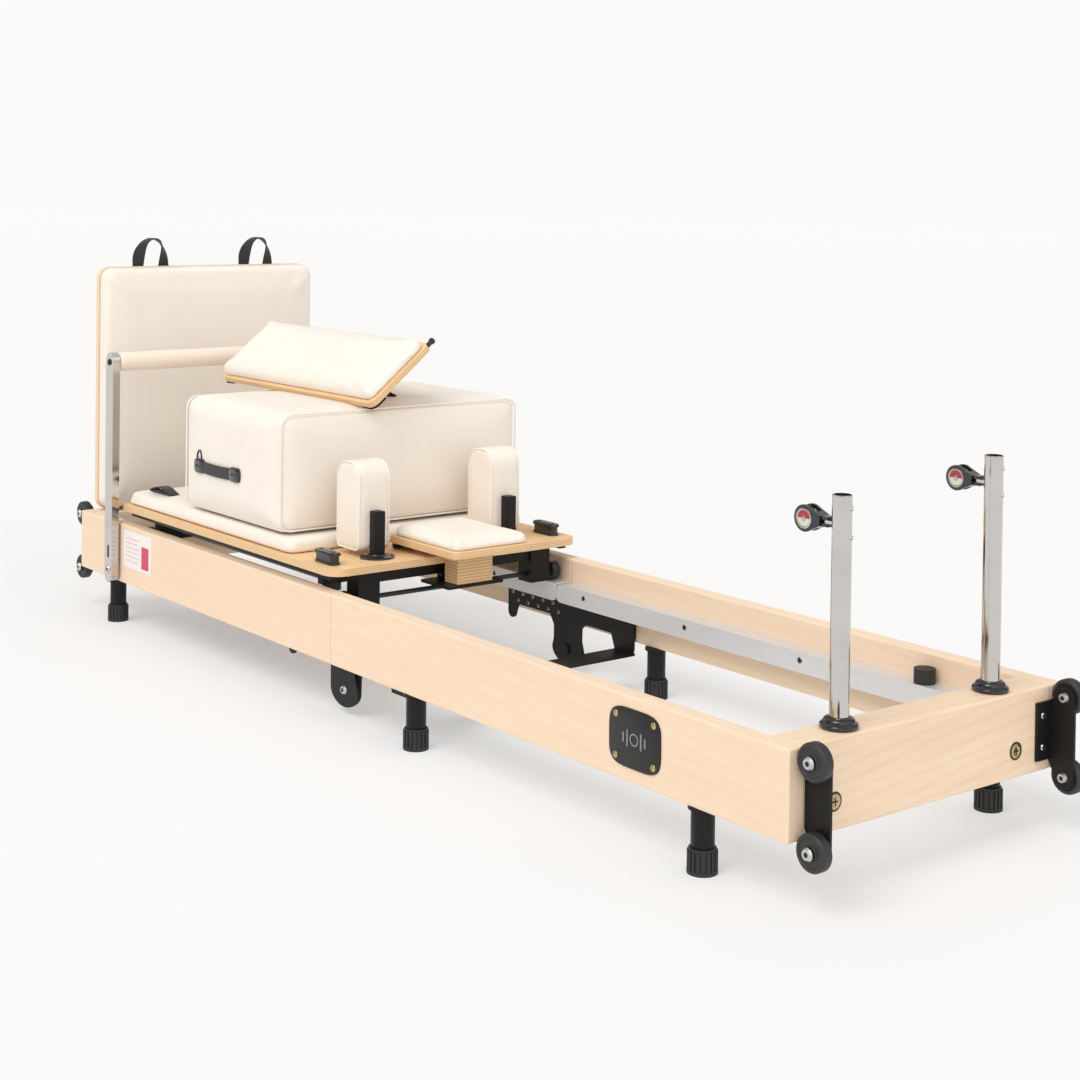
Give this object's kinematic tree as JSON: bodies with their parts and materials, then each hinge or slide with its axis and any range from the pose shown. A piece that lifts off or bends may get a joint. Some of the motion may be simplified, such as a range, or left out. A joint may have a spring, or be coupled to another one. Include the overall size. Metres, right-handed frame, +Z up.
{
  "type": "pilates reformer",
  "caption": "Folding timber Pilates reformer: sprung padded carriage on tracks, footbar, riser posts with pulleys, jump board, long box and standing platform.",
  "frame": {"origin": "on the floor under the middle of the frame's length and width", "axes": "+X along the frame to the pulley end, +Y across it to the far side, +Z up"},
  "size_m": [2.521, 0.698, 0.915],
  "materials": {
    "timber": "satin",
    "plywood": "satin",
    "track_metal": "satin",
    "black_steel": "satin",
    "black_plastic": "satin",
    "black_rubber": "matte",
    "wheel_rubber": "matte",
    "chromed_steel": "polished",
    "spring_wire": "polished",
    "cream_cover": "satin"
  },
  "bodies": {
    "rear_frame": {"rear_rail_near": "timber", "rear_rail_far": "timber", "foot_end_board": "timber", "rear_track_near": "track_metal", "rear_track_far": "track_metal", "rear_leg_near": "black_steel", "rear_leg_far": "black_steel", "rear_hinge_plate_near": "black_steel", "rear_hinge_plate_far": "black_steel", "rear_wheel_bracket_near": "black_steel", "rear_wheel_bracket_far": "black_steel", "spring_bar": "black_steel", "spring_near": "spring_wire", "spring_far": "spring_wire"},
    "front_frame": {"front_rail_near": "timber", "front_rail_far": "timber", "head_end_board": "timber", "front_track_near": "track_metal", "front_track_far": "track_metal", "middle_leg_near": "black_steel", "middle_leg_far": "black_steel", "head_leg_near": "black_steel", "head_leg_far": "black_steel", "hinge_yoke": "black_steel", "head_wheel_bracket_near": "black_steel", "head_wheel_bracket_far": "black_steel", "track_stop_near": "black_rubber", "track_stop_far": "black_rubber", "post_collar_near": "black_rubber", "post_collar_far": "black_rubber"},
    "carriage": {"carriage_deck": "plywood", "carriage_pad": "cream_cover", "carriage_chassis": "black_steel", "headrest_block": "plywood", "shoulder_rest_near": "cream_cover", "shoulder_rest_far": "cream_cover"},
    "front_rollers": {"front_roller_axle": "black_plastic"},
    "rear_rollers": {"rear_roller_axle": "black_plastic"},
    "headrest": {"headrest": "cream_cover"},
    "long_box": {"long_box": "cream_cover"},
    "platform": {"standing_platform": "cream_cover"},
    "prop": {"platform_prop": "black_steel"},
    "jump_board": {"jump_board": "plywood", "jump_board_pad": "cream_cover"},
    "footbar": {"footbar_bow": "chromed_steel", "footbar_grip": "cream_cover"},
    "near_post": {"riser_post_near": "chromed_steel"},
    "far_post": {"riser_post_far": "chromed_steel"},
    "near_pulley": {"pulley_block_near": "black_plastic"},
    "far_pulley": {"pulley_block_far": "black_plastic"},
    "near_sheave": {"pulley_sheave_near": "black_plastic"},
    "far_sheave": {"pulley_sheave_far": "black_plastic"},
    "rear_near_upper_wheel": {"rear_wheel_near_upper": "wheel_rubber"},
    "rear_near_lower_wheel": {"rear_wheel_near_lower": "wheel_rubber"},
    "rear_far_upper_wheel": {"rear_wheel_far_upper": "wheel_rubber"},
    "rear_far_lower_wheel": {"rear_wheel_far_lower": "wheel_rubber"},
    "head_near_upper_wheel": {"head_wheel_near_upper": "wheel_rubber"},
    "head_near_lower_wheel": {"head_wheel_near_lower": "wheel_rubber"},
    "head_far_upper_wheel": {"head_wheel_far_upper": "wheel_rubber"},
    "head_far_lower_wheel": {"head_wheel_far_lower": "wheel_rubber"}
  },
  "joints": [
    {"name": "frame_fold", "type": "hinge", "parent": "rear_frame", "child": "front_frame", "pos_m": [-0.049, 0, 0.049], "axis": [0, 1, 0], "range_deg": [0, 180]},
    {"name": "carriage_slide", "type": "slide", "parent": "rear_frame", "child": "carriage", "axis": [1, 0, 0], "range_m": [0, 1.002], "stiffness_N_per_m": 220, "springref_m": -0.12, "deforming": ["spring_near", "spring_far"]},
    {"name": "front_rollers_turn", "type": "hinge", "parent": "carriage", "child": "front_rollers", "pos_m": [-0.09, 0, 0.2163], "axis": [0, 1, 0], "continuous": true},
    {"name": "rear_rollers_turn", "type": "hinge", "parent": "carriage", "child": "rear_rollers", "pos_m": [-0.94, 0, 0.2163], "axis": [0, 1, 0], "continuous": true},
    {"name": "headrest_tilt", "type": "hinge", "parent": "carriage", "child": "headrest", "pos_m": [-0.1707, 0, 0.2966], "axis": [0, -1, 0], "range_deg": [0, 35]},
    {"name": "long_box_lift", "type": "slide", "parent": "carriage", "child": "long_box", "axis": [0, 0, 1], "range_m": [0, 0.3]},
    {"name": "platform_lift", "type": "slide", "parent": "long_box", "child": "platform", "axis": [0, 0, 1], "range_m": [0, 0.3]},
    {"name": "prop_fold", "type": "hinge", "parent": "platform", "child": "prop", "pos_m": [-0.5, -0.0286, 0.63167], "axis": [1, 0, 0], "range_deg": [0, 71]},
    {"name": "jump_board_lift", "type": "slide", "parent": "rear_frame", "child": "jump_board", "axis": [0, 0, 1], "range_m": [0, 0.35]},
    {"name": "footbar_tilt", "type": "hinge", "parent": "rear_frame", "child": "footbar", "pos_m": [-1, 0, 0.135], "axis": [0, 1, 0], "range_deg": [-12, 8]},
    {"name": "near_post_slide", "type": "slide", "parent": "front_frame", "child": "near_post", "axis": [0, 0, 1], "range_m": [-0.03, 0.06]},
    {"name": "far_post_slide", "type": "slide", "parent": "front_frame", "child": "far_post", "axis": [0, 0, 1], "range_m": [-0.06, 0.03]},
    {"name": "near_pulley_swivel", "type": "hinge", "parent": "near_post", "child": "near_pulley", "pos_m": [1.137, -0.18, 0.553], "axis": [0, 0, 1], "range_deg": [-60, 60]},
    {"name": "near_sheave_spin", "type": "hinge", "parent": "near_pulley", "child": "near_sheave", "pos_m": [1.097, -0.18, 0.553], "axis": [0, 1, 0], "continuous": true},
    {"name": "far_pulley_swivel", "type": "hinge", "parent": "far_post", "child": "far_pulley", "pos_m": [1.137, 0.18, 0.584], "axis": [0, 0, 1], "range_deg": [-60, 60]},
    {"name": "far_sheave_spin", "type": "hinge", "parent": "far_pulley", "child": "far_sheave", "pos_m": [1.097, 0.18, 0.584], "axis": [0, 1, 0], "continuous": true},
    {"name": "rear_near_upper_wheel_spin", "type": "hinge", "parent": "rear_frame", "child": "rear_near_upper_wheel", "pos_m": [-1.2315, -0.3015, 0.23], "axis": [0, 1, 0], "continuous": true},
    {"name": "rear_near_lower_wheel_spin", "type": "hinge", "parent": "rear_frame", "child": "rear_near_lower_wheel", "pos_m": [-1.2315, -0.3015, 0.098], "axis": [0, 1, 0], "continuous": true},
    {"name": "rear_far_upper_wheel_spin", "type": "hinge", "parent": "rear_frame", "child": "rear_far_upper_wheel", "pos_m": [-1.2315, 0.3015, 0.23], "axis": [0, 1, 0], "continuous": true},
    {"name": "rear_far_lower_wheel_spin", "type": "hinge", "parent": "rear_frame", "child": "rear_far_lower_wheel", "pos_m": [-1.2315, 0.3015, 0.098], "axis": [0, 1, 0], "continuous": true},
    {"name": "head_near_upper_wheel_spin", "type": "hinge", "parent": "front_frame", "child": "head_near_upper_wheel", "pos_m": [1.2315, -0.3015, 0.23], "axis": [0, 1, 0], "continuous": true},
    {"name": "head_near_lower_wheel_spin", "type": "hinge", "parent": "front_frame", "child": "head_near_lower_wheel", "pos_m": [1.2315, -0.3015, 0.098], "axis": [0, 1, 0], "continuous": true},
    {"name": "head_far_upper_wheel_spin", "type": "hinge", "parent": "front_frame", "child": "head_far_upper_wheel", "pos_m": [1.2315, 0.3015, 0.23], "axis": [0, 1, 0], "continuous": true},
    {"name": "head_far_lower_wheel_spin", "type": "hinge", "parent": "front_frame", "child": "head_far_lower_wheel", "pos_m": [1.2315, 0.3015, 0.098], "axis": [0, 1, 0], "continuous": true}
  ],
  "couplings": [
    {"joint": "front_rollers_turn", "follows": "carriage_slide", "rad_per_m": 50},
    {"joint": "rear_rollers_turn", "follows": "carriage_slide", "rad_per_m": 50}
  ]
}
